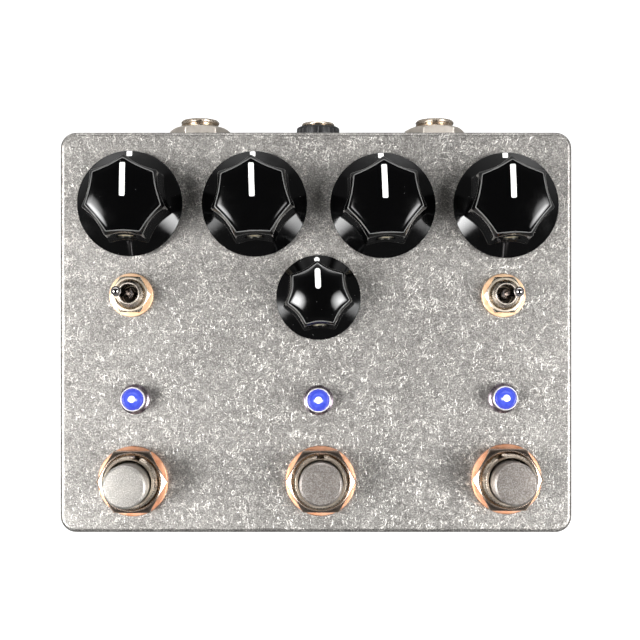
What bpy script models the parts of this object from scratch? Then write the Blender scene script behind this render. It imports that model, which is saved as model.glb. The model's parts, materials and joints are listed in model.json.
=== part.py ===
"""A guitar effects pedal: a die-cast box with knobs, toggles, footswitches, lamps and rear sockets.

Metres, +Z up. The origin is the centre of the base plate's underside, +X runs along the box's
long side and +Y points to the rear wall, where the sockets are.
"""
import math

import bmesh
import bpy
from mathutils import Matrix

MM = 0.001
GAP = 0.3 * MM                  # room between two separate pieces that meet

# Box, measured over the closed lid
BOX_LENGTH = 119.5 * MM
BOX_WIDTH = 94.0 * MM
BOX_HEIGHT = 34.0 * MM
BOX_DRAFT = 1.27 * MM           # how far each wall leans in over the full height
CORNER_RADIUS = 4.9 * MM        # upright corners, at the base
EDGE_RADIUS = 1.0 * MM          # along the top edges
WALL = 2.25 * MM
PLATE_THICKNESS = 2.0 * MM
RIDGE_WIDTH = 1.5 * MM
RIDGE_TOP = 3.8 * MM
POST_X = 55.4 * MM
POST_Y = 42.65 * MM
POST_RADIUS = 3.2 * MM
LID_SCREW_RADIUS = 1.5 * MM
LID_SCREW_HEAD = 3.0 * MM
LID_SCREW_LENGTH = 12.4 * MM

# Layout of the rear wall
DC_JACK_X = 0.5 * MM
JACK_X = 28.3 * MM
JACK_SHIFT_X = 0.35 * MM
JACK_Z = 15.2 * MM

# Potentiometers and their shafts, heights above the panel
POT_BODY = (9.8 * MM, 11.3 * MM)
POT_DEPTH = 6.8 * MM
POT_BUSHING_RADIUS = 3.5 * MM
POT_BUSHING_TOP = 4.2 * MM
POT_NUT_FLATS = 10.0 * MM
SHAFT_NECK_RADIUS = 2.4 * MM
SHAFT_RADIUS = 3.0 * MM
SHAFT_FLAT = 2.4 * MM           # distance of the shaft's flat from its axis
KNOB_LOBES = 7
KNOB_SIDES = 4 * KNOB_LOBES
KNOB_FOOT = 0.6 * MM            # underside of a knob above the panel
KNOB_RECESS_TOP = 5.0 * MM
KNOB_CROWN = 2.5 * MM           # solid thickness over the end of the bore
SET_SCREW_RADIUS = 1.9 * MM
SET_SCREW_LENGTH = 3.5 * MM
KNOB_SKIRT_SLOPE = math.radians(24.0)
# The hollows are the depths of a flute below a flat side, as shares of the radius.
LARGE_KNOB = {
    "skirt": 12.0 * MM, "base": 10.0 * MM, "shoulder": 9.4 * MM, "top": 8.3 * MM,
    "grip_hollow": 0.075, "top_hollow": 0.015, "height": 14.5 * MM, "dome": 1.1 * MM,
    "chamfer": 1.1 * MM, "recess": 6.8 * MM, "screw_height": 8.0 * MM,
}
SMALL_KNOB = {
    "skirt": 9.65 * MM, "base": 8.2 * MM, "shoulder": 7.7 * MM, "top": 6.95 * MM,
    "grip_hollow": 0.07, "top_hollow": 0.06, "height": 12.6 * MM, "dome": 1.8 * MM,
    "chamfer": 0.8 * MM, "recess": 6.1 * MM, "screw_height": 7.0 * MM,
}

# Toggle switches
TOGGLE_BODY = (13.0 * MM, 7.9 * MM)
TOGGLE_DEPTH = 9.2 * MM
TOGGLE_BUSHING_RADIUS = 3.0 * MM
TOGGLE_BUSHING_TOP = 5.7 * MM
TOGGLE_BORE = 2.05 * MM
TOGGLE_CHAMFER = (0.6 * MM, 0.8 * MM)       # width and height of the bushing's top edge
TOGGLE_PIVOT = 4.2 * MM
TOGGLE_LEAN = math.radians(14.0)
TOGGLE_NUT_FLATS = 8.0 * MM
TOGGLE_WASHER_RADIUS = 5.0 * MM

# Footswitches
FOOTSWITCH_BODY = (16.6 * MM, 16.6 * MM)
FOOTSWITCH_DEPTH = 13.0 * MM
FOOTSWITCH_BUSHING_RADIUS = 6.0 * MM
FOOTSWITCH_BUSHING_TOP = 8.7 * MM
FOOTSWITCH_BORE = 5.0 * MM
FOOTSWITCH_CHAMFER = (0.4 * MM, 0.4 * MM)
FOOTSWITCH_NUT_FLATS = 14.0 * MM
FOOTSWITCH_WASHER_RADIUS = 8.0 * MM
BUTTON_RADIUS = 4.75 * MM
BUTTON_FOOT = 0.4 * MM
BUTTON_TOP = 16.3 * MM

# Lamps
LED_RADIUS = 2.45 * MM
LED_TOP = 6.4 * MM
LED_LENGTH = 8.7 * MM
LED_RIM = (2.9 * MM, 1.0 * MM)  # radius and thickness of the lamp's base rim
BEZEL_TUBE_RADIUS = 3.1 * MM
BEZEL_TUBE_END = -1.0 * MM
BEZEL_FLANGE_RADIUS = 3.5 * MM
BEZEL_LIP_RADIUS = 2.9 * MM
BEZEL_LIP = 4.4 * MM

# Sockets, lengths from the rear wall's outer face
JACK_BODY = (13.0 * MM, 9.6 * MM)
JACK_DEPTH = 21.8 * MM
JACK_THREAD_RADIUS = 4.6 * MM
JACK_THREAD_TIP = 5.4 * MM
JACK_SOCKET = 3.3 * MM
JACK_NUT_FLATS = 12.7 * MM
JACK_NUT_FACE = 3.4 * MM
DC_BODY_RADIUS = 4.8 * MM
DC_DEPTH = 11.2 * MM
DC_THREAD_RADIUS = 3.95 * MM
DC_THREAD_TIP = 4.75 * MM
DC_SOCKET = 2.8 * MM
DC_PIN = 1.05 * MM
DC_NUT_RADIUS = 5.15 * MM
DC_NUT_FACE = 3.75 * MM

# Circuit board
BOARD_LENGTH = 104.0 * MM
BOARD_FRONT = -24.0 * MM
BOARD_REAR = 36.0 * MM
BOARD_BOTTOM = 20.3 * MM
BOARD_THICKNESS = 1.6 * MM

PANEL_INSIDE = -WALL - 0.35 * MM    # top of the parts behind the panel, from its outer face
BOARD_FROM_PANEL = BOARD_BOTTOM + BOARD_THICKNESS + GAP - BOX_HEIGHT
SOCKET_INSIDE = -2.8 * MM           # front of the parts behind the rear wall, from its outer face

FINISHES = {
    # name: colour, roughness, metallic
    "tumbled_aluminium": ((0.47, 0.45, 0.42), 0.45, 0.9),
    "black_plastic": ((0.008, 0.008, 0.009), 0.12, 0.0),
    "matt_black_plastic": ((0.015, 0.015, 0.016), 0.4, 0.0),
    "copper_plate": ((0.75, 0.31, 0.16), 0.25, 1.0),
    "nickel_plate": ((0.50, 0.46, 0.42), 0.22, 1.0),
    "chrome": ((0.75, 0.75, 0.76), 0.08, 1.0),
    "button_metal": ((0.30, 0.29, 0.27), 0.4, 0.9),
    "brass": ((0.60, 0.42, 0.18), 0.3, 1.0),
    "blue_lens": ((0.06, 0.09, 0.85), 0.1, 0.0),
    "board_green": ((0.02, 0.14, 0.06), 0.5, 0.0),
    "steel": ((0.45, 0.45, 0.46), 0.3, 1.0),
}


# ---------------------------------------------------------------- mesh helpers

def circle(radius, z, sides):
    """A ring of points about the Z axis."""
    turn = 2.0 * math.pi / sides
    return [(radius * math.cos(i * turn), radius * math.sin(i * turn), z) for i in range(sides)]


def bore_circle(radius, z, sides):
    """A ring whose flats, not its corners, lie at the radius, so a round shaft clears it."""
    return circle(radius / math.cos(math.pi / sides), z, sides)


def hexagon(flats, z, limit=None):
    """Twelve points round a hexagon with corners on the X axis, trimmed to a circle of radius limit."""
    ring = []
    for i in range(12):
        radius = 0.5 * flats / math.cos(math.pi / 6.0) if i % 2 == 0 else 0.5 * flats
        if limit is not None:
            radius = min(radius, limit)
        angle = i * math.pi / 6.0
        ring.append((radius * math.cos(angle), radius * math.sin(angle), z))
    return ring


def rounded_rectangle(half_x, half_y, radius, z, steps=3):
    """A ring round a rectangle with quarter-circle corners."""
    ring = []
    for corner, (sx, sy) in enumerate(((1, 1), (-1, 1), (-1, -1), (1, -1))):
        for step in range(steps + 1):
            angle = math.radians(90.0 * (corner + step / steps))
            x = sx * (half_x - radius) + radius * math.cos(angle)
            y = sy * (half_y - radius) + radius * math.sin(angle)
            ring.append((x, y, z))
    return ring


def lobed(radius, z, hollow):
    """A ring round a seven-cornered grip with hollow sides and one corner at +Y."""
    half = math.pi / KNOB_LOBES
    ring = []
    for i in range(KNOB_SIDES):
        angle = 2.0 * math.pi * i / KNOB_SIDES
        off_corner = abs((angle - 0.5 * math.pi + half) % (2.0 * half) - half)
        off_middle = half - off_corner
        straight = math.cos(half) / math.cos(off_middle)
        reach = radius * (straight - hollow * (1.0 - (off_middle / half) ** 2))
        ring.append((reach * math.cos(angle), reach * math.sin(angle), z))
    return ring


def loft(rings, closed=False):
    """A mesh through rings of equal length: capped at both ends, or closed on itself."""
    bm = bmesh.new()
    loops = [[bm.verts.new(point) for point in ring] for ring in rings]
    pairs = list(zip(loops, loops[1:]))
    if closed:
        pairs.append((loops[-1], loops[0]))
    for low, high in pairs:
        for i in range(len(low)):
            j = (i + 1) % len(low)
            bm.faces.new((low[i], low[j], high[j], high[i]))
    if not closed:
        bm.faces.new(list(reversed(loops[0])))
        bm.faces.new(loops[-1])
    mesh = bpy.data.meshes.new("solid")
    bm.to_mesh(mesh)
    bm.free()
    return mesh


def turned(profile, sides):
    """A turned solid from (radius, z) pairs, outer side upwards."""
    return loft([circle(radius, z, sides) for radius, z in profile])


def box(low, high):
    """A plain block between two corners."""
    (x0, y0, z0), (x1, y1, z1) = low, high
    outline = [(x0, y0), (x1, y0), (x1, y1), (x0, y1)]
    return loft([[(x, y, z) for x, y in outline] for z in (z0, z1)])


def moved(mesh, x=0.0, y=0.0, z=0.0, turn=None):
    """The same mesh, turned and then shifted."""
    matrix = Matrix.Translation((x, y, z))
    if turn is not None:
        matrix = matrix @ turn
    mesh.transform(matrix)
    return mesh


def gathered(meshes):
    """Several separate solids in one mesh, to cut with all of them at once."""
    bm = bmesh.new()
    for mesh in meshes:
        bm.from_mesh(mesh)
        bpy.data.meshes.remove(mesh)
    result = bpy.data.meshes.new("tools")
    bm.to_mesh(result)
    bm.free()
    return result


def combine(mesh, steps):
    """The mesh after a list of Boolean steps, each an operation and the mesh it uses."""
    helpers = [bpy.data.objects.new("helper", mesh)]
    for operation, tool in steps:
        helper = bpy.data.objects.new("helper", tool)
        helpers.append(helper)
        modifier = helpers[0].modifiers.new(operation.lower(), "BOOLEAN")
        modifier.operation = operation
        modifier.solver = "EXACT"
        modifier.object = helper
    for helper in helpers:
        bpy.context.scene.collection.objects.link(helper)
    graph = bpy.context.evaluated_depsgraph_get()
    result = bpy.data.meshes.new_from_object(helpers[0].evaluated_get(graph))
    for helper in helpers:
        used = helper.data
        bpy.data.objects.remove(helper, do_unlink=True)
        bpy.data.meshes.remove(used)
    return result


ALONG_Y = Matrix.Rotation(math.radians(-90.0), 4, "X")      # turns +Z to +Y
ALONG_MINUS_Y = Matrix.Rotation(math.radians(90.0), 4, "X")     # turns +Z to -Y


# ------------------------------------------------------------ objects and finishes

def finish(name):
    """The material of that name, made the first time it is asked for."""
    if name in bpy.data.materials:
        return bpy.data.materials[name]
    colour, roughness, metallic = FINISHES[name]
    material = bpy.data.materials.new(name)
    material.use_nodes = True
    shader = material.node_tree.nodes["Principled BSDF"]
    shader.inputs["Base Color"].default_value = (*colour, 1.0)
    shader.inputs["Roughness"].default_value = roughness
    shader.inputs["Metallic"].default_value = metallic
    material.diffuse_color = (*colour, 1.0)
    return material


def place(name, mesh, material, location=(0.0, 0.0, 0.0), rotation=(0.0, 0.0, 0.0), parent=None):
    """An object for one sub-part, smooth on its round faces and sharp at its edges."""
    piece = bpy.data.objects.new(name, mesh)
    bpy.context.scene.collection.objects.link(piece)
    piece.location = location
    piece.rotation_euler = rotation
    piece.parent = parent
    if not mesh.materials:
        mesh.materials.append(finish(material))
    mesh.shade_smooth()
    mesh.set_sharp_from_angle(angle=math.radians(35.0))
    return piece


def axis_empty(name, location, turn):
    """An empty on an upright joint axis, which carries the pieces that turn with it."""
    empty = bpy.data.objects.new(name, None)
    bpy.context.scene.collection.objects.link(empty)
    empty.empty_display_size = 5.0 * MM
    empty.location = location
    empty.rotation_euler = (0.0, 0.0, turn)
    return empty


# ----------------------------------------------------------------------- the box

def box_section(z, inset=0.0):
    """The box's outline at a height, drawn in by an inset."""
    shrink = BOX_DRAFT * z / BOX_HEIGHT + inset
    return rounded_rectangle(0.5 * BOX_LENGTH - shrink, 0.5 * BOX_WIDTH - shrink,
                             CORNER_RADIUS - shrink, z)


def rear_wall_y(z):
    """Where the rear wall's outer face is at a height."""
    return 0.5 * BOX_WIDTH - BOX_DRAFT * z / BOX_HEIGHT


def at_posts(make):
    """One mesh from make() at each of the four corner posts."""
    return [moved(make(), sx * POST_X, sy * POST_Y) for sx in (-1, 1) for sy in (-1, 1)]


def panel_holes():
    """The cutters of every hole in the control panel."""
    def hole(radius, sides, x, y):
        rings = [bore_circle(radius, z, sides) for z in (BOX_HEIGHT - 4.0 * MM, BOX_HEIGHT + 2.0 * MM)]
        return moved(loft(rings), x, y)

    holes = [hole(POT_BUSHING_RADIUS + GAP, 16, x, y) for x, y, _, _ in KNOBS]
    holes += [hole(TOGGLE_BUSHING_RADIUS + GAP, 16, x, y) for x, y, _, _ in TOGGLES]
    holes += [hole(BEZEL_TUBE_RADIUS + 0.2 * MM, 16, x, y) for x, y, _ in LAMPS]
    holes += [hole(FOOTSWITCH_BUSHING_RADIUS + GAP, 20, x, y) for x, y, _ in FOOTSWITCHES]
    return holes


def rear_holes():
    """The cutters of the three socket holes."""
    def hole(radius, x):
        rings = [bore_circle(radius, z, 16) for z in (-6.0 * MM, 4.0 * MM)]
        return moved(loft(rings), x, rear_wall_y(JACK_Z), JACK_Z, ALONG_Y)

    holes = [hole(JACK_THREAD_RADIUS + GAP, x) for x, _ in JACKS]
    return holes + [hole(DC_THREAD_RADIUS + GAP, DC_JACK_X)]


def make_enclosure():
    """The drafted shell, with its four posts left standing in the cavity and every hole drilled."""
    rim = PLATE_THICKNESS + GAP
    rings = [box_section(rim)]
    for step in range(4):
        angle = math.radians(30.0 * step)
        z = BOX_HEIGHT - EDGE_RADIUS + EDGE_RADIUS * math.sin(angle)
        rings.append(box_section(z, EDGE_RADIUS * (1.0 - math.cos(angle))))
    shell = loft(rings)
    cavity = loft([box_section(z, WALL) for z in (0.5 * MM, BOX_HEIGHT - WALL)])
    posts = gathered(at_posts(lambda: turned([(POST_RADIUS, 0.0), (POST_RADIUS, BOX_HEIGHT)], 12)))
    cavity = combine(cavity, [("DIFFERENCE", posts)])
    screw_hole = [bore_circle(LID_SCREW_RADIUS + GAP, z, 12) for z in (0.0, 14.0 * MM)]
    holes = gathered(panel_holes() + rear_holes() + at_posts(lambda: loft(screw_hole)))
    mesh = combine(shell, [("DIFFERENCE", cavity), ("DIFFERENCE", holes)])
    return place("enclosure", mesh, "tumbled_aluminium")


def make_base_plate():
    """The flat lid with countersunk corners and a ridge that centres it in the box."""
    slab = loft([
        box_section(0.0, 0.3 * MM),
        rounded_rectangle(0.5 * BOX_LENGTH, 0.5 * BOX_WIDTH, CORNER_RADIUS, 0.3 * MM),
        rounded_rectangle(0.5 * BOX_LENGTH, 0.5 * BOX_WIDTH, CORNER_RADIUS, PLATE_THICKNESS),
    ])
    outer = WALL + 0.5 * MM
    inner = outer + RIDGE_WIDTH
    low = 1.0 * MM
    ridge = loft([box_ring(outer, low), box_ring(outer, RIDGE_TOP),
                  box_ring(inner, RIDGE_TOP), box_ring(inner, low)], closed=True)
    clearance = POST_RADIUS + 0.4 * MM
    corners = gathered(at_posts(lambda: turned([(clearance, 0.0), (clearance, 2.0 * RIDGE_TOP)], 12)))
    ridge = combine(ridge, [("DIFFERENCE", corners)])
    head = LID_SCREW_HEAD + 0.6 * MM
    shank = LID_SCREW_RADIUS + 0.45 * MM
    countersink = [(head, -0.5 * MM), (head, 0.05 * MM), (shank, 1.7 * MM), (shank, 3.0 * MM)]
    sinks = gathered(at_posts(lambda: turned(countersink, 12)))
    mesh = combine(slab, [("UNION", ridge), ("DIFFERENCE", sinks)])
    return place("base_plate", mesh, "tumbled_aluminium")


def box_ring(inset, z):
    """The lid's outline drawn in by an inset, at a height."""
    return rounded_rectangle(0.5 * BOX_LENGTH - inset, 0.5 * BOX_WIDTH - inset,
                             max(CORNER_RADIUS - inset, 0.4 * MM), z)


def make_lid_screws():
    """Four countersunk screws that hold the lid to the posts."""
    profile = [
        (LID_SCREW_HEAD, 0.15 * MM),
        (LID_SCREW_HEAD, 0.3 * MM),
        (LID_SCREW_RADIUS, 1.8 * MM),
        (LID_SCREW_RADIUS, LID_SCREW_LENGTH - 1.0 * MM),
        (0.6 * MM, LID_SCREW_LENGTH),
    ]
    mesh = turned(profile, 10)
    for index, (sx, sy) in enumerate(((-1, -1), (1, -1), (-1, 1), (1, 1)), start=1):
        place(f"lid_screw_{index}", mesh, "steel", (sx * POST_X, sy * POST_Y, 0.0))


def make_circuit_board():
    """The board that the pots, toggles and lamps are soldered to."""
    half = 0.5 * BOARD_LENGTH
    top = BOARD_BOTTOM + BOARD_THICKNESS
    mesh = box((-half, BOARD_FRONT, BOARD_BOTTOM), (half, BOARD_REAR, top))
    place("circuit_board", mesh, "board_green")


# --------------------------------------------------------- pots, shafts and knobs

def pot_mesh():
    """A potentiometer: housing, three pins, threaded bushing with its nut, and the shaft's bore."""
    half_x, half_y = 0.5 * POT_BODY[0], 0.5 * POT_BODY[1]
    bottom = PANEL_INSIDE - POT_DEPTH
    housing = box((-half_x, -half_y, bottom), (half_x, half_y, PANEL_INSIDE))
    bushing = turned([(POT_BUSHING_RADIUS, PANEL_INSIDE - 1.0 * MM),
                      (POT_BUSHING_RADIUS, POT_BUSHING_TOP)], 16)
    nut = loft([hexagon(POT_NUT_FLATS, z) for z in (GAP, 2.3 * MM)])
    bore = loft([bore_circle(SHAFT_NECK_RADIUS + GAP, z, 12)
                 for z in (bottom + 1.2 * MM, POT_BUSHING_TOP + 1.0 * MM)])
    pins = []
    for x in (-2.5 * MM, 0.0, 2.5 * MM):
        low = (x - 0.45 * MM, -half_y + 0.8 * MM, BOARD_FROM_PANEL)
        high = (x + 0.45 * MM, -half_y + 1.3 * MM, bottom + 0.5 * MM)
        pins.append(box(low, high))
    return combine(housing, [("UNION", bushing), ("UNION", nut), ("UNION", gathered(pins)),
                             ("DIFFERENCE", bore)])


def shaft_mesh(length):
    """A shaft with a thin neck in the bushing and a flat at the front for the set screw."""
    bottom = PANEL_INSIDE - POT_DEPTH + 1.5 * MM
    mesh = turned([
        (SHAFT_NECK_RADIUS, bottom),
        (SHAFT_NECK_RADIUS, POT_BUSHING_TOP + GAP),
        (SHAFT_RADIUS, POT_BUSHING_TOP + 1.5 * GAP),
        (SHAFT_RADIUS, length - 0.5 * MM),
        (SHAFT_RADIUS - 0.4 * MM, length),
    ], 12)
    for vertex in mesh.vertices:
        vertex.co.y = max(vertex.co.y, -SHAFT_FLAT)
    return mesh


def knob_mesh(size):
    """A skirted knob with a seven-cornered grip, hollow below, bored for its shaft and set screw."""
    sides = KNOB_SIDES
    foot = KNOB_FOOT
    skirt, height = size["skirt"], size["height"]
    lip = foot + 1.0 * MM
    junction = []
    for x, y, _ in lobed(size["base"], 0.0, size["grip_hollow"]):
        junction.append((x, y, lip + (skirt - math.hypot(x, y)) * math.tan(KNOB_SKIRT_SLOPE)))
    edge = height - size["dome"]
    crown = []
    for share in (1.0, 0.72, 0.42, 0.16):
        z = edge + size["dome"] * (1.0 - share ** 2)
        crown.append(lobed(share * size["top"], z, share * size["top_hollow"]))
    bore = SHAFT_RADIUS + GAP
    mesh = loft([
        bore_circle(bore, height - KNOB_CROWN, sides),
        bore_circle(bore, KNOB_RECESS_TOP, sides),
        circle(size["recess"], KNOB_RECESS_TOP, sides),
        circle(size["recess"], foot, sides),
        circle(skirt - 0.3 * MM, foot, sides),
        circle(skirt, foot + 0.3 * MM, sides),
        circle(skirt, lip, sides),
        junction,
        lobed(size["shoulder"], edge - size["chamfer"], size["grip_hollow"]),
        *crown,
    ])
    reach = size["base"] + 1.0 * MM
    screw_hole = turned([(SET_SCREW_RADIUS + GAP, 2.5 * MM), (SET_SCREW_RADIUS + GAP, reach)], 12)
    moved(screw_hole, z=size["screw_height"], turn=ALONG_MINUS_Y)
    return combine(mesh, [("DIFFERENCE", screw_hole)])


def set_screw_mesh(size):
    """A headless screw that lies in the knob's front flute and bears on the shaft's flat."""
    start = SHAFT_FLAT + GAP
    profile = [(SET_SCREW_RADIUS, start), (SET_SCREW_RADIUS, start + SET_SCREW_LENGTH)]
    return moved(turned(profile, 12), z=size["screw_height"], turn=ALONG_MINUS_Y)


def make_controls():
    """Five pots, each with its shaft, knob and set screw on one axis."""
    pot = pot_mesh()
    kit = {}
    for label, size in (("large", LARGE_KNOB), ("small", SMALL_KNOB)):
        shaft = shaft_mesh(size["height"] - KNOB_CROWN - GAP)
        kit[label] = (knob_mesh(size), shaft, set_screw_mesh(size))
    for index, (x, y, label, turn) in enumerate(KNOBS, start=1):
        knob, shaft, screw = kit[label]
        place(f"pot_{index}", pot, "steel", (x, y, BOX_HEIGHT))
        axis = axis_empty(f"knob_axis_{index}", (x, y, BOX_HEIGHT), math.radians(turn))
        place(f"knob_{index}", knob, "black_plastic", parent=axis)
        place(f"pot_shaft_{index}", shaft, "steel", parent=axis)
        place(f"knob_screw_{index}", screw, "brass", parent=axis)


# ------------------------------------------------------------- switches and lamps

def nut_mesh(flats, bore, low, high):
    """A hex nut with a chamfered top."""
    corner = 0.5 * flats / math.cos(math.pi / 6.0)
    chamfer = 0.35 * (corner - 0.5 * flats)
    trim = 0.5 * flats + chamfer
    return loft([
        hexagon(flats, low),
        hexagon(flats, high - chamfer),
        hexagon(flats, high, trim),
        bore_circle(bore, high, 12),
        bore_circle(bore, low, 12),
    ], closed=True)


def washer_mesh(outer, inner, low, high):
    """A flat ring."""
    sides = 16
    return loft([circle(outer, low, sides), circle(outer, high, sides),
                 bore_circle(inner, high, sides), bore_circle(inner, low, sides)], closed=True)


def switch_mesh(body, depth, thread, top, chamfer, bore, lugs):
    """A panel switch: housing, solder lugs and a threaded bushing with a blind bore."""
    half_x, half_y = 0.5 * body[0], 0.5 * body[1]
    bottom = PANEL_INSIDE - depth
    housing = box((-half_x, -half_y, bottom), (half_x, half_y, PANEL_INSIDE))
    chamfer_width, chamfer_height = chamfer
    bushing = turned([(thread, PANEL_INSIDE - 1.0 * MM), (thread, top - chamfer_height),
                      (thread - chamfer_width, top)], 20)
    well = loft([bore_circle(bore, z, 20) for z in (-2.9 * MM, top + 1.0 * MM)])
    steps = [("UNION", bushing)]
    if lugs:
        steps.append(("UNION", gathered(lugs)))
    return combine(housing, steps + [("DIFFERENCE", well)])


def footswitch_lugs():
    """Three rows of three solder lugs below a footswitch."""
    bottom = PANEL_INSIDE - FOOTSWITCH_DEPTH
    lugs = []
    for column in (-1, 0, 1):
        for row in (-1, 0, 1):
            x, y = column * 5.0 * MM, row * 5.0 * MM
            low = (x - 1.2 * MM, y - 0.4 * MM, bottom - 3.5 * MM)
            lugs.append(box(low, (x + 1.2 * MM, y + 0.4 * MM, bottom + 0.5 * MM)))
    return lugs


def lever_mesh():
    """A bat lever about its pivot: tail, pivot ball, neck and rounded bat end."""
    return turned([
        (0.7 * MM, -4.4 * MM), (0.8 * MM, -1.6 * MM), (1.35 * MM, -1.0 * MM), (1.65 * MM, 0.0),
        (1.35 * MM, 1.0 * MM), (0.85 * MM, 1.5 * MM), (0.85 * MM, 4.6 * MM), (1.1 * MM, 6.6 * MM),
        (1.2 * MM, 7.9 * MM), (0.95 * MM, 8.7 * MM), (0.4 * MM, 9.1 * MM),
    ], 10)


def make_toggles():
    """Two lever switches, with levers that lean away from the middle of the panel."""
    body = switch_mesh(TOGGLE_BODY, TOGGLE_DEPTH, TOGGLE_BUSHING_RADIUS, TOGGLE_BUSHING_TOP,
                       TOGGLE_CHAMFER, TOGGLE_BORE, [])
    opening = TOGGLE_BUSHING_RADIUS + GAP
    washer = washer_mesh(TOGGLE_WASHER_RADIUS, opening, GAP, GAP + 0.5 * MM)
    nut = nut_mesh(TOGGLE_NUT_FLATS, opening, 1.1 * MM, 2.9 * MM)
    lever = lever_mesh()
    for x, y, side, lean in TOGGLES:
        spot = (x, y, BOX_HEIGHT)
        place(f"toggle_{side}_body", body, "nickel_plate", spot)
        place(f"toggle_{side}_washer", washer, "copper_plate", spot)
        place(f"toggle_{side}_nut", nut, "nickel_plate", spot)
        pivot = (x, y, BOX_HEIGHT + TOGGLE_PIVOT)
        place(f"toggle_{side}_lever", lever, "chrome", pivot, (0.0, lean, 0.0))


def make_footswitches():
    """Three press switches, each with washer, nut and button."""
    body = switch_mesh(FOOTSWITCH_BODY, FOOTSWITCH_DEPTH, FOOTSWITCH_BUSHING_RADIUS,
                       FOOTSWITCH_BUSHING_TOP, FOOTSWITCH_CHAMFER, FOOTSWITCH_BORE,
                       footswitch_lugs())
    opening = FOOTSWITCH_BUSHING_RADIUS + GAP
    washer = washer_mesh(FOOTSWITCH_WASHER_RADIUS, opening, GAP, GAP + 0.7 * MM)
    nut = nut_mesh(FOOTSWITCH_NUT_FLATS, opening, 1.3 * MM, 4.0 * MM)
    button = turned([(BUTTON_RADIUS, BUTTON_FOOT), (BUTTON_RADIUS, BUTTON_TOP - 0.5 * MM),
                     (BUTTON_RADIUS - 0.5 * MM, BUTTON_TOP)], 20)
    for x, y, side in FOOTSWITCHES:
        spot = (x, y, BOX_HEIGHT)
        place(f"footswitch_{side}", body, "nickel_plate", spot)
        place(f"footswitch_washer_{side}", washer, "copper_plate", spot)
        place(f"footswitch_nut_{side}", nut, "nickel_plate", spot)
        place(f"button_{side}", button, "button_metal", spot)


def led_mesh():
    """A 5 mm lamp: base rim, round-nosed lens and two legs down to the board."""
    centre = LED_TOP - LED_RADIUS
    foot = LED_TOP - LED_LENGTH
    rim_radius, rim_thickness = LED_RIM
    profile = [(rim_radius, foot), (rim_radius, foot + rim_thickness - 0.1 * MM),
               (LED_RADIUS, foot + rim_thickness)]
    for degrees in (0.0, 35.0, 65.0):
        angle = math.radians(degrees)
        profile.append((LED_RADIUS * math.cos(angle), centre + LED_RADIUS * math.sin(angle)))
    profile.append((0.3 * MM, LED_TOP))
    lens = turned(profile, 14)
    legs = []
    for x in (-1.27 * MM, 1.27 * MM):
        low = (x - 0.25 * MM, -0.25 * MM, BOARD_FROM_PANEL)
        legs.append(box(low, (x + 0.25 * MM, 0.25 * MM, foot + 0.3 * MM)))
    return combine(lens, [("UNION", gathered(legs))])


def bezel_mesh():
    """A slender metal cone round a lamp, with a flange on the panel and a short tube in its hole."""
    sides = 16
    inside = LED_RADIUS + 0.2 * MM
    return loft([
        circle(BEZEL_TUBE_RADIUS, BEZEL_TUBE_END, sides),
        circle(BEZEL_TUBE_RADIUS, GAP, sides),
        circle(BEZEL_FLANGE_RADIUS, GAP, sides),
        circle(BEZEL_FLANGE_RADIUS, 0.8 * MM, sides),
        circle(BEZEL_FLANGE_RADIUS - 0.2 * MM, 1.0 * MM, sides),
        circle(BEZEL_LIP_RADIUS, BEZEL_LIP, sides),
        bore_circle(inside, BEZEL_LIP, sides),
        bore_circle(inside, BEZEL_TUBE_END, sides),
    ], closed=True)


def make_lamps():
    """Three blue lamps in conical bezels, one behind each footswitch."""
    lamp = led_mesh()
    bezel = bezel_mesh()
    for x, y, side in LAMPS:
        spot = (x, y, BOX_HEIGHT)
        place(f"led_{side}", lamp, "blue_lens", spot)
        place(f"led_bezel_{side}", bezel, "chrome", spot)


# ------------------------------------------------------------------------ sockets

def jack_mesh():
    """An audio socket: flat housing and a threaded collar round a deep blind bore."""
    half_x, half_y = 0.5 * JACK_BODY[0], 0.5 * JACK_BODY[1]
    back = SOCKET_INSIDE - JACK_DEPTH
    housing = box((-half_x, -half_y, back), (half_x, half_y, SOCKET_INSIDE))
    collar = turned([(JACK_THREAD_RADIUS, SOCKET_INSIDE - 1.0 * MM),
                     (JACK_THREAD_RADIUS, JACK_THREAD_TIP)], 20)
    socket = loft([bore_circle(JACK_SOCKET, z, 16) for z in (back + 1.2 * MM, JACK_THREAD_TIP + MM)])
    return combine(housing, [("UNION", collar), ("DIFFERENCE", socket)])


def dc_jack_mesh():
    """A power socket: round housing, threaded collar, and a pin at the bottom of its bore."""
    sides = 16
    back = SOCKET_INSIDE - DC_DEPTH
    floor = back + 2.5 * MM
    return loft([
        circle(DC_BODY_RADIUS, back, sides),
        circle(DC_BODY_RADIUS, SOCKET_INSIDE, sides),
        circle(DC_THREAD_RADIUS, SOCKET_INSIDE, sides),
        circle(DC_THREAD_RADIUS, DC_THREAD_TIP, sides),
        circle(DC_SOCKET, DC_THREAD_TIP, sides),
        circle(DC_SOCKET, floor, sides),
        circle(DC_PIN, floor, sides),
        circle(DC_PIN, DC_THREAD_TIP - 1.0 * MM, sides),
    ])


def make_sockets():
    """Two audio sockets and the power socket, all fixed from outside by a nut."""
    wall_y = rear_wall_y(JACK_Z)
    outwards = (math.radians(-90.0), 0.0, 0.0)
    jack = jack_mesh()
    nut = nut_mesh(JACK_NUT_FLATS, JACK_THREAD_RADIUS + GAP, 0.65 * MM, JACK_NUT_FACE)
    for x, side in JACKS:
        place(f"jack_{side}", jack, "nickel_plate", (x, wall_y, JACK_Z), outwards)
        place(f"jack_nut_{side}", nut, "nickel_plate", (x, wall_y, JACK_Z), outwards)
    spot = (DC_JACK_X, wall_y, JACK_Z)
    ring = washer_mesh(DC_NUT_RADIUS, DC_THREAD_RADIUS + GAP, 0.6 * MM, DC_NUT_FACE)
    place("dc_jack", dc_jack_mesh(), "nickel_plate", spot, outwards)
    place("dc_jack_nut", ring, "matt_black_plastic", spot, outwards)


# ---------------------------------------------------------------------- assembly

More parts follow.
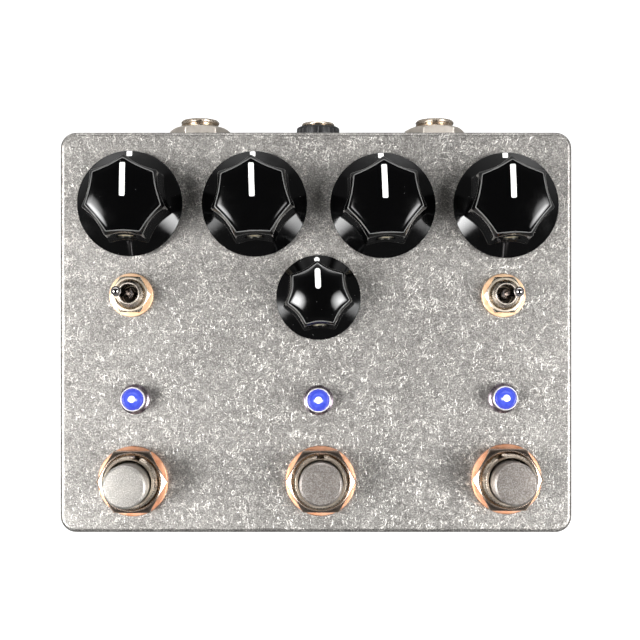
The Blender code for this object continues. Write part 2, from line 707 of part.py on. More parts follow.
KNOBS = (
    # x, y, size, and how many degrees left of straight up the pointer is set
    (-42.4 * MM, 29.2 * MM, "large", 0.0),
    (-14.0 * MM, 29.1 * MM, "large", 2.0),
    (15.2 * MM, 28.75 * MM, "large", 2.3),
    (43.25 * MM, 28.8 * MM, "large", 1.3),
    (0.55 * MM, 7.8 * MM, "small", 2.4),
)
TOGGLES = (
    (-42.15 * MM, 8.45 * MM, "left", -TOGGLE_LEAN),
    (42.8 * MM, 8.35 * MM, "right", TOGGLE_LEAN),
)
LAMPS = (
    (-41.35 * MM, -15.35 * MM, "left"),
    (0.55 * MM, -15.55 * MM, "middle"),
    (42.75 * MM, -15.1 * MM, "right"),
)
FOOTSWITCHES = (
    (-41.75 * MM, -34.05 * MM, "left"),
    (1.05 * MM, -33.95 * MM, "middle"),
    (43.5 * MM, -33.55 * MM, "right"),
)
JACKS = (
    (JACK_SHIFT_X - JACK_X, "left"),
    (JACK_SHIFT_X + JACK_X, "right"),
)


def main():
    """Build the whole pedal in an emptied scene."""
    for old in list(bpy.data.objects):
        bpy.data.objects.remove(old, do_unlink=True)
    make_enclosure()
    make_base_plate()
    make_lid_screws()
    make_circuit_board()
    make_controls()
    make_toggles()
    make_footswitches()
    make_lamps()
    make_sockets()


main()
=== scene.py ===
"""The look of a guitar effects pedal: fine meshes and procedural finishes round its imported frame.

Metres, in the frame's own axes: +X along the long side, +Y to the rear wall, +Z up. A number
times MM is in millimetres. Every piece is drawn about its own axis and then put where the frame
has that part.
"""
import json
import math

import bmesh
import bpy
from mathutils import Matrix, Vector


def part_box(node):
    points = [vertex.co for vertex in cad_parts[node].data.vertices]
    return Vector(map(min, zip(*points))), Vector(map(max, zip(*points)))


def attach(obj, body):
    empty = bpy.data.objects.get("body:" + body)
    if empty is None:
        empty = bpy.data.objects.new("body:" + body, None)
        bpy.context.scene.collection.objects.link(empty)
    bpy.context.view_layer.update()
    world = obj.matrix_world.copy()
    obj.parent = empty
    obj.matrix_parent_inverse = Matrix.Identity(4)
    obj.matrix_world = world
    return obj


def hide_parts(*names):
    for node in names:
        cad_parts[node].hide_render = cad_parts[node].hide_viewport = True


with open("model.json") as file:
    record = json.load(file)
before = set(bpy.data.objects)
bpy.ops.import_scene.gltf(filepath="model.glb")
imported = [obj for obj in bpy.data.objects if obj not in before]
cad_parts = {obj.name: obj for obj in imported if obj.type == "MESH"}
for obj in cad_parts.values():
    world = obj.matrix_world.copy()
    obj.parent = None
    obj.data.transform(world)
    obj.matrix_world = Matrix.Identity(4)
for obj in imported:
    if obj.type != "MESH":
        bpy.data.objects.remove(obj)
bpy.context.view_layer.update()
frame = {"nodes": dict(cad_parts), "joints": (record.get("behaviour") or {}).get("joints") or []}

MM = 0.001
SIDES = ("left", "middle", "right")
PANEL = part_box("enclosure")[1].z                    # height of the control panel's face
PLATE_TOP = 2.0 * MM
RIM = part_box("enclosure")[0].z                      # lower edge of the box's walls
HALF_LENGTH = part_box("base_plate")[1].x
HALF_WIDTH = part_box("base_plate")[1].y

# The box
DRAFT = 1.27 * MM               # how far each wall leans in over the full height
CORNER_RADIUS = 4.9 * MM
EDGE_RADIUS = 1.0 * MM
WALL = 2.25 * MM
POST_RADIUS = 3.2 * MM

# Knobs, about their own axis and from the panel up
LOBES = 7
SKIRT_SLOPE = math.radians(24.0)
KNOB_FOOT = 0.6 * MM
KNOB_LIP = 1.6 * MM
KNOB_BORE = 3.3 * MM
KNOB_RECESS_TOP = 5.0 * MM
LARGE_KNOB = {
    "skirt": 12.0 * MM, "base": (10.0 * MM, 0.075), "shoulder": (9.5 * MM, 0.065),
    "top": (8.55 * MM, 0.02), "height": 14.5 * MM, "dome": 1.1 * MM, "chamfer": 1.15 * MM,
    "recess": 6.8 * MM, "screw_height": 8.0 * MM, "screw_end": 8.0 * MM,
    "line": (-0.1 * MM, 7.4 * MM, 0.61 * MM, 0.3 * MM), "mark": (11.3 * MM, 0.62 * MM, 0.2 * MM),
}
SMALL_KNOB = {
    "skirt": 9.65 * MM, "base": (8.2 * MM, 0.07), "shoulder": (7.7 * MM, 0.07),
    "top": (7.05 * MM, 0.06), "height": 12.6 * MM, "dome": 1.8 * MM, "chamfer": 0.8 * MM,
    "recess": 6.1 * MM, "screw_height": 7.0 * MM, "screw_end": 6.55 * MM,
    "line": (1.2 * MM, 5.8 * MM, 0.62 * MM, 0.6 * MM), "mark": (8.6 * MM, 0.6 * MM, 0.59 * MM),
}
KNOB_TURNS = (0.0, 2.0, 2.3, 1.3, 2.4)      # degrees left of straight up at rest

# Switches, lamps and sockets
SWITCH_INSIDE = -2.6 * MM       # top of a switch's housing, from the panel's face
SWITCH_WELL = -0.6 * MM         # bottom of the bore in a switch's bushing
LEVER_LEAN = 14.0               # degrees a lever leans from upright at rest, away from the middle
FOOTSWITCHES = (                # side, degrees its keyway is turned, degrees its button leans
    ("left", -17.0, 1.6), ("middle", 0.0, 0.0), ("right", 24.0, 1.3),
)
SOCKET_INSIDE = -2.8 * MM       # front of a socket's housing, from the rear wall's face
JACK_NUT_TURN = 5.0             # degrees

# Stage, light and camera
PALE = 0.94                     # brightness of the sweep behind and below, as the camera sees it
FLOOR_GAP = 0.1 * MM            # the floor lies this far below the lid
SOFTBOXES = (("left", 191.0, 38.5), ("right", 349.0, 27.5))     # side, azimuth, radiance
SOFTBOX_TILT = 41.5             # degrees off overhead
SOFTBOX_DISTANCE = 0.60
SOFTBOX_SIZE = (0.46, 0.40)
SOFTBOX_FADE = 18.5             # degrees off to the side where its light ends
CAMERA_SPOT = (0.0, -15.5 * MM, PANEL + 325.0 * MM)


# ---------------------------------------------------------------- mesh helpers

def circle(radius, z, sides):
    """A ring of points about the Z axis."""
    turn = 2.0 * math.pi / sides
    return [(radius * math.cos(i * turn), radius * math.sin(i * turn), z) for i in range(sides)]


def rounded_rectangle(half_x, half_y, radius, z, steps=12, spans=1):
    """A ring round a rectangle with quarter-circle corners, its sides cut into spans."""
    corners = []
    for quarter, (sx, sy) in enumerate(((1, 1), (-1, 1), (-1, -1), (1, -1))):
        arc = []
        for step in range(steps + 1):
            angle = math.radians(90.0 * (quarter + step / steps))
            arc.append(Vector((sx * (half_x - radius) + radius * math.cos(angle),
                               sy * (half_y - radius) + radius * math.sin(angle), z)))
        corners.append(arc)
    ring = []
    for arc, following in zip(corners, corners[1:] + corners[:1]):
        ring += arc
        ring += [arc[-1].lerp(following[0], span / spans) for span in range(1, spans)]
    return [tuple(point) for point in ring]


def rounded(points, steps=4):
    """A profile of (radius, z) points, where a third number rounds that corner with an arc."""
    profile = []
    for i, point in enumerate(points):
        spot = Vector(point[:2])
        if len(point) < 3:
            profile.append(tuple(spot))
            continue
        before = (Vector(points[i - 1][:2]) - spot).normalized()
        after = (Vector(points[(i + 1) % len(points)][:2]) - spot).normalized()
        half = 0.5 * before.angle(after)
        centre = spot + (before + after).normalized() * point[2] / math.sin(half)
        start = spot + before * point[2] / math.tan(half) - centre
        end = spot + after * point[2] / math.tan(half) - centre
        first = math.atan2(start.y, start.x)
        swing = (math.atan2(end.y, end.x) - first + math.pi) % (2.0 * math.pi) - math.pi
        for step in range(steps + 1):
            angle = first + swing * step / steps
            profile.append((centre.x + point[2] * math.cos(angle),
                            centre.y + point[2] * math.sin(angle)))
    return profile


def polygon_angles(sides, start, steps=12):
    """Angles round a polygon and how far each is from a corner, closest together at the corners."""
    half = math.pi / sides
    offsets = [half * (step / steps) ** 2 for step in range(steps + 1)]
    around = []
    for side in range(sides):
        corner = start + 2.0 * half * side
        around += [(corner + off, off) for off in offsets[:-1]]
        around += [(corner + 2.0 * half - off, off) for off in reversed(offsets[1:])]
    return around


def polygon_reach(sides, off_corner, radius, corner, hollow=0.0):
    """How far a polygon reaches at an angle from its nearest corner, with its corners rounded."""
    half = math.pi / sides
    lean = math.atan(math.tan(half) + 2.0 * hollow / half)
    centre = radius - corner / math.cos(lean)
    tangent = math.atan2(corner * math.sin(lean), centre + corner * math.cos(lean))
    if off_corner < tangent:
        across = centre * math.sin(off_corner)
        return centre * math.cos(off_corner) + math.sqrt(corner ** 2 - across ** 2)
    off_middle = half - off_corner
    straight = math.cos(half) / math.cos(off_middle)
    return radius * (straight - hollow * (1.0 - (off_middle / half) ** 2))


def lofted_round(meridians, closed=False):
    """A solid from (angle, profile) pairs, each profile a list of (radius, z) points."""
    upright = [[(reach * math.cos(angle), reach * math.sin(angle), z) for reach, z in profile]
               for angle, profile in meridians]
    return loft([list(ring) for ring in zip(*upright)], closed)


def loft(rings, closed=False):
    """A mesh through rings of equal length: capped at both ends, or closed on itself."""
    bm = bmesh.new()
    loops = [[bm.verts.new(point) for point in ring] for ring in rings]
    pairs = list(zip(loops, loops[1:]))
    if closed:
        pairs.append((loops[-1], loops[0]))
    for low, high in pairs:
        for i in range(len(low)):
            j = (i + 1) % len(low)
            bm.faces.new((low[i], low[j], high[j], high[i]))
    if not closed:
        bm.faces.new(list(reversed(loops[0])))
        bm.faces.new(loops[-1])
    mesh = bpy.data.meshes.new("solid")
    bm.to_mesh(mesh)
    bm.free()
    return mesh


def turned(profile, sides=64, closed=False):
    """A turned solid from (radius, z) pairs, outer side upwards."""
    return loft([circle(radius, z, sides) for radius, z in profile], closed)


def block(low, high):
    """A plain block between two corners, to join or to cut with."""
    (x0, y0, z0), (x1, y1, z1) = low, high
    outline = [(x0, y0), (x1, y0), (x1, y1), (x0, y1)]
    return loft([[(x, y, z) for x, y in outline] for z in (z0, z1)])


def moved(mesh, x=0.0, y=0.0, z=0.0, turn=None):
    """The same mesh, turned and then shifted."""
    matrix = Matrix.Translation((x, y, z))
    if turn is not None:
        matrix = matrix @ turn
    mesh.transform(matrix)
    return mesh


def gathered(meshes):
    """Several separate solids in one mesh."""
    bm = bmesh.new()
    for mesh in meshes:
        bm.from_mesh(mesh)
        bpy.data.meshes.remove(mesh)
    result = bpy.data.meshes.new("solids")
    bm.to_mesh(result)
    bm.free()
    return result


def combine(mesh, steps):
    """The mesh after a list of Boolean steps, each an operation and the mesh it uses."""
    helpers = [bpy.data.objects.new("helper", mesh)]
    for operation, tool in steps:
        helper = bpy.data.objects.new("helper", tool)
        helpers.append(helper)
        modifier = helpers[0].modifiers.new(operation.lower(), "BOOLEAN")
        modifier.operation = operation
        modifier.solver = "EXACT"
        modifier.object = helper
    for helper in helpers:
        bpy.context.scene.collection.objects.link(helper)
    graph = bpy.context.evaluated_depsgraph_get()
    result = bpy.data.meshes.new_from_object(helpers[0].evaluated_get(graph))
    for helper in helpers:
        used = helper.data
        bpy.data.objects.remove(helper, do_unlink=True)
        bpy.data.meshes.remove(used)
    return result


def screw_thread(radius, pitch, low, high, sides=64):
    """The rings of a screw thread about the Z axis, running out at both ends."""
    depth = 0.55 * pitch
    levels = round(8.0 * (high - low) / pitch)
    rings = []
    for level in range(levels + 1):
        z = low + (high - low) * level / levels
        fade = min(1.0, (z - low) / pitch, (high - z) / (0.5 * pitch))
        ring = []
        for i in range(sides):
            crest = abs(2.0 * ((z / pitch - i / sides) % 1.0) - 1.0)
            reach = radius - depth * fade * (1.0 - crest)
            angle = 2.0 * math.pi * i / sides
            ring.append((reach * math.cos(angle), reach * math.sin(angle), z))
        rings.append(ring)
    return rings


ALONG_Y = Matrix.Rotation(math.radians(-90.0), 4, "X")          # turns +Z to +Y
ALONG_MINUS_Y = Matrix.Rotation(math.radians(90.0), 4, "X")     # turns +Z to -Y


# --------------------------------------------------------------------- finishes

class Finish:
    """A Principled material whose nodes read the piece's own coordinates."""

    def __init__(self, name, **constants):
        """Start the material, its constants being the shader's sockets that stay as they are."""
        self.material = bpy.data.materials.new(name)
        self.material.use_nodes = True
        self.tree = self.material.node_tree
        self.shader = self.tree.nodes["Principled BSDF"]
        for socket, value in constants.items():
            self.set(socket.replace("_", " "), value)
        own = self.node("ShaderNodeTexCoord").outputs["Object"]
        luck = self.node("ShaderNodeObjectInfo").outputs["Random"]
        self.place = self.node("ShaderNodeVectorMath", {0: luck, 1: (3.0, 5.0, 7.0), 2: own},
                               operation="MULTIPLY_ADD").outputs[0]
        self.own = own

    def node(self, kind, inputs=None, **settings):
        """A new node, with its settings made and its inputs filled or linked."""
        node = self.tree.nodes.new(kind)
        for name, value in settings.items():
            setattr(node, name, value)
        for key, value in (inputs or {}).items():
            if isinstance(value, bpy.types.NodeSocket):
                self.tree.links.new(value, node.inputs[key])
            else:
                node.inputs[key].default_value = value
        return node

    def set(self, socket, value):
        """One of the shader's own inputs."""
        if isinstance(value, bpy.types.NodeSocket):
            self.tree.links.new(value, self.shader.inputs[socket])
        else:
            self.shader.inputs[socket].default_value = value

    def noise(self, size, detail=2.0, roughness=0.5, place=None):
        """Noise whose features are about that size, from 0 to 1."""
        inputs = {"Vector": place or self.place, "Scale": 1.0 / size, "Detail": detail,
                  "Roughness": roughness}
        return self.node("ShaderNodeTexNoise", inputs).outputs["Fac"]

    def math(self, operation, *values):
        """One step of arithmetic."""
        return self.node("ShaderNodeMath", dict(enumerate(values)), operation=operation).outputs[0]

    def spread(self, value, low, high, to_low=0.0, to_high=1.0):
        """A value's stretch from low to high, drawn out to another stretch and held there."""
        inputs = {"Value": value, "From Min": low, "From Max": high, "To Min": to_low,
                  "To Max": to_high}
        return self.node("ShaderNodeMapRange", inputs).outputs["Result"]

    def blend(self, factor, first, second):
        """A colour between two others, each three numbers or a socket."""
        ends = [end if isinstance(end, bpy.types.NodeSocket) else (*end, 1.0)
                for end in (first, second)]
        inputs = {0: factor, 6: ends[0], 7: ends[1]}
        return self.node("ShaderNodeMix", inputs, data_type="RGBA").outputs[2]

    def reach(self):
        """Distance from the piece's own upright axis."""
        x, y, _ = self.node("ShaderNodeSeparateXYZ", {"Vector": self.own}).outputs
        square = self.math("ADD", self.math("MULTIPLY", x, x), self.math("MULTIPLY", y, y))
        return self.math("POWER", square, 0.5)

    def streaks(self, width, length, angle):
        """Noise drawn out along one direction of the panel, for fine scratches."""
        turn = self.node("ShaderNodeVectorRotate", {"Vector": self.place, "Angle": angle},
                         rotation_type="Z_AXIS").outputs[0]
        squeezed = self.node("ShaderNodeVectorMath", {0: turn, 1: (width / length, 1.0, 1.0)},
                             operation="MULTIPLY").outputs[0]
        return self.noise(width, 1.0, 0.5, squeezed)

    def bump(self, height, distance, strength=1.0):
        """A relief of that depth in metres."""
        relief = self.node("ShaderNodeBump", {"Height": height, "Distance": distance,
                                              "Strength": strength})
        self.set("Normal", relief.outputs["Normal"])


def cast_aluminium(name, tone=1.0):
    """Tumbled die-cast aluminium: clouds, blotches, a close grain, bright nicks and a few pits."""
    finish = Finish(name, Metallic=1.0)
    cloud = finish.noise(11.0 * MM, 1.0)
    blotch = finish.noise(1.4 * MM, 2.0, 0.6)
    grain = finish.noise(0.33 * MM, 1.0, 0.6)
    nicks = None
    for step in range(5):
        layer = finish.streaks(0.24 * MM, 1.2 * MM, math.radians(17.0 + 36.0 * step))
        layer = finish.spread(layer, 0.65, 0.72)
        nicks = layer if nicks is None else finish.math("MAXIMUM", nicks, layer)
    busy = finish.spread(finish.noise(2.5 * MM, 2.0), 0.46, 0.60)
    tint = finish.math("MULTIPLY_ADD", cloud, 0.21, -0.455)
    tint = finish.math("MULTIPLY_ADD", blotch, 0.50, tint)
    tint = finish.math("MULTIPLY_ADD", grain, 0.60, tint)
    tint = finish.math("MULTIPLY_ADD", finish.spread(grain, 0.52, 0.82), 0.50, tint)
    tint = finish.math("MULTIPLY_ADD", finish.math("MULTIPLY", nicks, busy), 0.8, tint)
    pits = finish.spread(finish.noise(0.6 * MM, 1.0), 0.25, 0.31, 0.25, 1.0)
    dark = [tone * level for level in (0.21, 0.20, 0.188)]
    light = [tone * level for level in (0.95, 0.915, 0.865)]
    finish.set("Base Color", finish.blend(finish.math("MULTIPLY", tint, pits), dark, light))
    finish.set("Roughness", finish.spread(grain, 0.3, 0.7, 0.45, 0.38))
    relief = finish.math("MULTIPLY_ADD", nicks, 0.5, grain)
    finish.bump(finish.math("MULTIPLY", relief, pits), 0.025 * MM)
    return finish.material


def gloss_plastic(name, colour, roughness):
    """Moulded black plastic with a faint haze of handling, a few specks of dust, and a pale grey
    painted highlight on the edges that a piece marks.
    """
    finish = Finish(name)
    haze = finish.noise(3.0 * MM, 3.0, 0.6)
    specks = finish.node("ShaderNodeTexVoronoi",
                         {"Vector": finish.place, "Scale": 1.0 / (1.1 * MM)})
    near = finish.spread(specks.outputs["Distance"], 0.05, 0.08, 1.0, 0.0)
    chance = finish.node("ShaderNodeSeparateColor",
                         {"Color": specks.outputs["Color"]}).outputs["Red"]
    dust = finish.math("MULTIPLY", near, finish.spread(chance, 0.78, 0.8))
    # painted highlight: faces a piece marks along its edges are painted pale grey, standing in for
    # the light those edges catch
    wear_and_painted_highlight = finish.node("ShaderNodeAttribute", attribute_name="painted_edge_highlight").outputs["Fac"]
    dust_and_painted_highlight = finish.math("MAXIMUM", dust, wear_and_painted_highlight)
    finish.set("Base Color", finish.blend(dust_and_painted_highlight, colour, (0.13, 0.13, 0.128)))
    finish.set("Roughness", finish.spread(haze, 0.3, 0.7, roughness, roughness + 0.06))
    finish.bump(finish.noise(1.6 * MM, 2.0), 0.004 * MM)
    return finish.material


def plated(name, dark, light, roughness, grain=0.3, lathe=0.0, bore=0.0, face=0.0, speckle=0.0):
    """Metal with tarnish and grain: lathe rings, painted shade on the floor of a bore, satin end
    faces, bright speckle.
    """
    finish = Finish(name, Metallic=1.0)
    tarnish = finish.spread(finish.noise(2.2 * MM, 3.0, 0.6), 0.3, 0.7)
    fine = finish.noise(grain * MM, 2.0, 0.6)
    height, colour = fine, finish.blend(tarnish, dark, light)
    if lathe:
        line = finish.node("ShaderNodeCombineXYZ", {"X": finish.reach()}).outputs[0]
        height = finish.math("MULTIPLY_ADD", finish.noise(lathe * MM, 2.0, 0.7, line), 2.0, fine)
    # painted shade: within the bore's radius of the axis the metal is darkened to 0.12 of its dark
    # tone, as shade at the bottom of the bore
    if bore:
        bore_floor_shade = finish.spread(finish.reach(), bore * MM, (bore + 0.05) * MM)
        colour = finish.blend(bore_floor_shade, [0.12 * level for level in dark], colour)
    if speckle:
        grit = finish.spread(finish.noise(0.26 * MM, 1.0), 0.42, 0.74)
        colour = finish.blend(finish.math("MULTIPLY", grit, speckle), colour, (1.0, 0.98, 0.95))
    finish.set("Base Color", colour)
    sheen = finish.spread(fine, 0.3, 0.7, roughness, 1.5 * roughness)
    if face:
        normal = finish.node("ShaderNodeTexCoord").outputs["Normal"]
        up = finish.node("ShaderNodeSeparateXYZ", {"Vector": normal}).outputs["Z"]
        flat = finish.spread(finish.math("ABSOLUTE", up), 0.95, 0.985)
        sheen = finish.spread(flat, 0.0, 1.0, sheen, face)
    finish.set("Roughness", sheen)
    finish.bump(height, 0.006 * MM)
    return finish.material


def paint(name, colour):
    """Filled white paint, a little uneven."""
    finish = Finish(name)
    patch = finish.noise(0.5 * MM, 2.0)
    wear_and_painted_highlight = [0.86 * level for level in colour]
    finish.set("Base Color", finish.blend(finish.spread(patch, 0.35, 0.65), wear_and_painted_highlight, colour))
    finish.set("Roughness", finish.spread(patch, 0.3, 0.7, 0.35, 0.5))
    finish.bump(patch, 0.01 * MM)
    return finish.material


def lamp_lens(name):
    """A lit blue lamp: white-hot over its chip, and blue that deepens towards its rim."""
    finish = Finish(name, Roughness=0.12)
    reach = finish.reach()
    glow = finish.noise(1.3 * MM, 1.0)
    tint = finish.blend(finish.spread(glow, 0.35, 0.65), (0.045, 0.085, 0.68), (0.085, 0.13, 0.80))
    tint = finish.blend(finish.spread(reach, 1.5 * MM, 2.4 * MM), tint, (0.04, 0.06, 0.58))
    hot = finish.spread(reach, 0.62 * MM, 0.88 * MM, 1.0, 0.0)
    finish.set("Base Color", finish.blend(hot, (0.01, 0.015, 0.12), (0.2, 0.2, 0.3)))
    finish.set("Emission Color", finish.blend(hot, tint, (1.0, 1.0, 1.0)))
    finish.set("Emission Strength", finish.spread(hot, 0.0, 1.0, 1.0, 1.8))
    return finish.material


def board_laminate(name):
    """Green solder mask over woven laminate, with the copper's outlines showing faintly."""
    finish = Finish(name)
    weave = finish.node("ShaderNodeTexBrick", {"Vector": finish.own, "Scale": 1.0 / (2.4 * MM)})
    tracks = finish.spread(finish.noise(3.0 * MM, 0.0), 0.49, 0.51)
    finish.set("Base Color", finish.blend(tracks, (0.012, 0.10, 0.045), (0.03, 0.19, 0.08)))
    finish.set("Roughness", finish.spread(weave.outputs["Fac"], 0.0, 1.0, 0.32, 0.42))
    finish.bump(tracks, 0.03 * MM)
    return finish.material


def make_finishes():
    """Every material of the object, by the name of the record's slot or of the piece it is on."""
    return {
        "cast_box": cast_aluminium("tumbled_cast_aluminium"),
        "lid": cast_aluminium("tumbled_lid_aluminium", 0.95),
        "knob_plastic": gloss_plastic("gloss_black_plastic", (0.0012, 0.0012, 0.0013), 0.06),
        "dc_nut_plastic": gloss_plastic("satin_black_plastic", (0.014, 0.014, 0.015), 0.32),
        "housing_plastic": gloss_plastic("housing_plastic", (0.02, 0.05, 0.16), 0.35),
        "pointer_white": paint("pointer_white", (0.9, 0.9, 0.89)),
        "copper_washer": plated("copper_plate", (0.74, 0.34, 0.19), (0.95, 0.55, 0.36), 0.40, 0.5),
        "copper_washer.toggle": plated("pale_copper_plate", (0.90, 0.56, 0.34),
                                       (1.0, 0.73, 0.49), 0.42, 0.5),
        "nickel_nut": plated("nickel_nut_plate", (0.60, 0.46, 0.37), (0.78, 0.64, 0.53), 0.12,
                             face=0.27),
        "nickel_nut.toggle": plated("toggle_nut_plate", (0.70, 0.60, 0.48), (0.88, 0.79, 0.65), 0.2,
                                    face=0.44),
        "nickel_nut.jack": plated("satin_nickel_plate", (0.66, 0.60, 0.53),
                                  (0.80, 0.74, 0.67), 0.36),
        "nickel_bushing": plated("nickel_bushing_plate", (0.50, 0.42, 0.34),
                                 (0.72, 0.63, 0.52), 0.22, face=0.34),
        # its bore's floor carries painted shade
        "nickel_bushing.toggle": plated("toggle_bushing_plate", (0.62, 0.55, 0.47),
                                        (0.84, 0.76, 0.66), 0.2, bore=1.95, face=0.42),
        "lever_chrome": plated("lever_chrome_plate", (0.36, 0.34, 0.34), (0.46, 0.44, 0.44), 0.05),
        "bezel_chrome": plated("bezel_chrome_plate", (0.22, 0.18, 0.21), (0.34, 0.29, 0.33), 0.2),
        # painted light: the lip's metal is near white, standing in for the glow of the lit lamp
        # falling on it
        "bezel_chrome.painted_glow_lip": plated("bezel_lip_painted_glow", (0.80, 0.77, 0.78), (0.95, 0.93, 0.93), 0.40),
        "button_light": plated("button_light_metal", (0.38, 0.36, 0.33), (0.49, 0.46, 0.42), 0.33,
                               speckle=0.55),
        "button_dark": plated("button_dark_metal", (0.25, 0.22, 0.20), (0.35, 0.31, 0.28), 0.32,
                              speckle=0.38),
        "set_screw_brass": plated("set_screw_brass", (0.74, 0.67, 0.52), (0.92, 0.86, 0.72), 0.3),
        "pot_steel": plated("pot_steel", (0.42, 0.41, 0.40), (0.56, 0.55, 0.54), 0.3),
        "screw_steel": plated("screw_steel", (0.40, 0.40, 0.41), (0.58, 0.58, 0.58), 0.22),
        "led_blue": lamp_lens("lit_blue_lens"),
        "board": board_laminate("solder_mask"),
    }


FINISHES = make_finishes()


def piece(name, mesh, finish, body, location=(0.0, 0.0, 0.0), rotation=(0.0, 0.0, 0.0), nodes=(),
          crease=35.0):
    """One piece of the object, placed, finished, and riding on its body."""
    item = bpy.data.objects.new(name, mesh)
    bpy.context.scene.collection.objects.link(item)
    item.location = location
    item.rotation_euler = rotation
    mesh.materials.clear()
    mesh.materials.append(FINISHES[finish])
    mesh.shade_smooth()
    mesh.set_sharp_from_angle(angle=math.radians(crease))
    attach(item, body)
    if nodes:
        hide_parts(*nodes)
    return item


def weighted(item):
    """The piece with flat faces that stay flat where they run into its rounded edges."""
    normals = item.modifiers.new("flat_faces", "WEIGHTED_NORMAL")
    normals.keep_sharp = True
    return item


def axis_of(node):
    """Where the upright axis of a round node stands."""
    low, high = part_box(node)
    middle = 0.5 * (low + high)
    return middle.x, middle.y


# ----------------------------------------------------------------------- the box

def box_section(z, inset=0.0):
    """The box's outline at a height, drawn in by an inset."""
    shrink = DRAFT * z / PANEL + inset
    return rounded_rectangle(HALF_LENGTH - shrink, HALF_WIDTH - shrink, CORNER_RADIUS - shrink, z)


def at_posts(make):
    """One mesh from make() at each of the four corner posts."""
    spots = [axis_of(f"lid_screw_{i}") for i in (1, 2, 3, 4)]
    return [moved(make(), x, y) for x, y in spots]


def hole(radius, node):
    """A cutter through the control panel at a round node's axis."""
    x, y = axis_of(node)
    return moved(turned([(radius, PANEL - 4.0 * MM), (radius, PANEL + 2.0 * MM)]), x, y)


def rear_hole(radius, node):
    """A cutter through the rear wall at a socket's axis."""
    low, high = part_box(node)
    middle = 0.5 * (low + high)
    rod = turned([(radius, 0.0), (radius, 12.0 * MM)])
    return moved(rod, middle.x, HALF_WIDTH - 8.0 * MM, middle.z, ALONG_Y)


def make_enclosure():
    """The drafted shell with its rounded top edge, cavity, posts and drilled holes."""
    rings = [box_section(RIM, 0.2 * MM), box_section(RIM + 0.06 * MM, 0.06 * MM),
             box_section(RIM + 0.2 * MM)]
    for step in range(9):
        angle = math.radians(90.0 * step / 8)
        z = PANEL - EDGE_RADIUS * (1.0 - math.sin(angle))
        rings.append(box_section(z, EDGE_RADIUS * (1.0 - math.cos(angle))))
    shell = loft(rings)
    cavity = loft([box_section(z, WALL) for z in (0.5 * MM, PANEL - WALL)])
    posts = gathered(at_posts(lambda: turned([(POST_RADIUS, 0.0), (POST_RADIUS, PANEL)], 32)))
    cavity = combine(cavity, [("DIFFERENCE", posts)])
    cutters = [hole(3.8 * MM, f"knob_{i}") for i in range(1, 6)]
    cutters += [hole(3.3 * MM, f"toggle_{side}_nut") for side in ("left", "right")]
    cutters += [hole(3.3 * MM, f"led_bezel_{side}") for side in SIDES]
    cutters += [hole(6.3 * MM, f"footswitch_nut_{side}") for side in SIDES]
    cutters += [rear_hole(4.9 * MM, f"jack_nut_{side}") for side in ("left", "right")]
    cutters.append(rear_hole(4.25 * MM, "dc_jack_nut"))
    cutters += at_posts(lambda: turned([(1.8 * MM, 0.0), (1.8 * MM, 14.0 * MM)], 32))
    mesh = combine(shell, [("DIFFERENCE", cavity), ("DIFFERENCE", gathered(cutters))])
    weighted(piece("enclosure_shell", mesh, "cast_box", "case", nodes=["enclosure"]))


def make_base_plate():
    """The flat lid with its countersinks and the ridge that centres it."""
    def outline(inset, z):
        """The box's outline at its base, drawn in by an inset."""
        return rounded_rectangle(HALF_LENGTH - inset, HALF_WIDTH - inset,
                                 max(CORNER_RADIUS - inset, 0.4 * MM), z)

    slab = loft([outline(0.5 * MM, 0.0), outline(0.15 * MM, 0.12 * MM), outline(0.0, 0.45 * MM),
                 outline(0.0, PLATE_TOP - 0.2 * MM), outline(0.15 * MM, PLATE_TOP)])
    outer, inner = 2.75 * MM, 4.25 * MM
    ridge_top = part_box("base_plate")[1].z
    ridge = loft([outline(outer, 1.0 * MM), outline(outer, ridge_top - 0.4 * MM),
                  outline(outer + 0.3 * MM, ridge_top), outline(inner, ridge_top),
                  outline(inner, 1.0 * MM)], closed=True)
    clearance = gathered(at_posts(lambda: turned([(3.6 * MM, 0.0), (3.6 * MM, 8.0 * MM)], 48)))
    ridge = combine(ridge, [("DIFFERENCE", clearance)])
    sink = [(3.6 * MM, -0.5 * MM), (3.6 * MM, 0.05 * MM), (1.95 * MM, 1.7 * MM),
            (1.95 * MM, 3.0 * MM)]
    sinks = gathered(at_posts(lambda: turned(sink, 48)))
    mesh = combine(slab, [("UNION", ridge), ("DIFFERENCE", sinks)])
    weighted(piece("base_plate_lid", mesh, "lid", "case", nodes=["base_plate"]))


def make_lid_screws():
    """Four countersunk screws with cross recesses."""
    head, shank = 3.0 * MM, 1.5 * MM
    rings = [circle(radius, z, 64) for radius, z in rounded([
        (1.0 * MM, 0.15 * MM), (head, 0.15 * MM, 0.08 * MM), (head, 0.4 * MM, 0.06 * MM),
        (shank, 1.9 * MM)])]
    rings += screw_thread(shank, 0.7 * MM, 2.4 * MM, 11.6 * MM)
    rings.append(circle(0.6 * MM, 12.4 * MM, 64))
    bars = []
    for along in (Vector((1, 0)), Vector((0, 1))):
        across = Vector((-along.y, along.x))
        section = []
        for reach, half, z in ((1.75, 0.42, -0.2), (1.2, 0.3, 1.0)):
            corners = [along * reach + across * half, -along * reach + across * half,
                       -along * reach - across * half, along * reach - across * half]
            section.append([(c.x * MM, c.y * MM, z * MM) for c in corners])
        bars.append(loft(section))
    mesh = combine(loft(rings), [("DIFFERENCE", bar) for bar in bars])
    for i in (1, 2, 3, 4):
        x, y = axis_of(f"lid_screw_{i}")
        piece(f"lid_screw_{i}_head", mesh, "screw_steel", "case", (x, y, 0.0),
              nodes=[f"lid_screw_{i}"])


# ------------------------------------------------------------------------- knobs

def dome_height(size, reach):
    """Height of a knob's crowned top at a distance from the axis."""
    return size["height"] - size["dome"] * (reach / size["top"][0]) ** 2


def cone_height(size, reach):
    """Height of a knob's sloping skirt at a distance from the axis."""
    return KNOB_LIP + (size["skirt"] - reach) * math.tan(SKIRT_SLOPE)


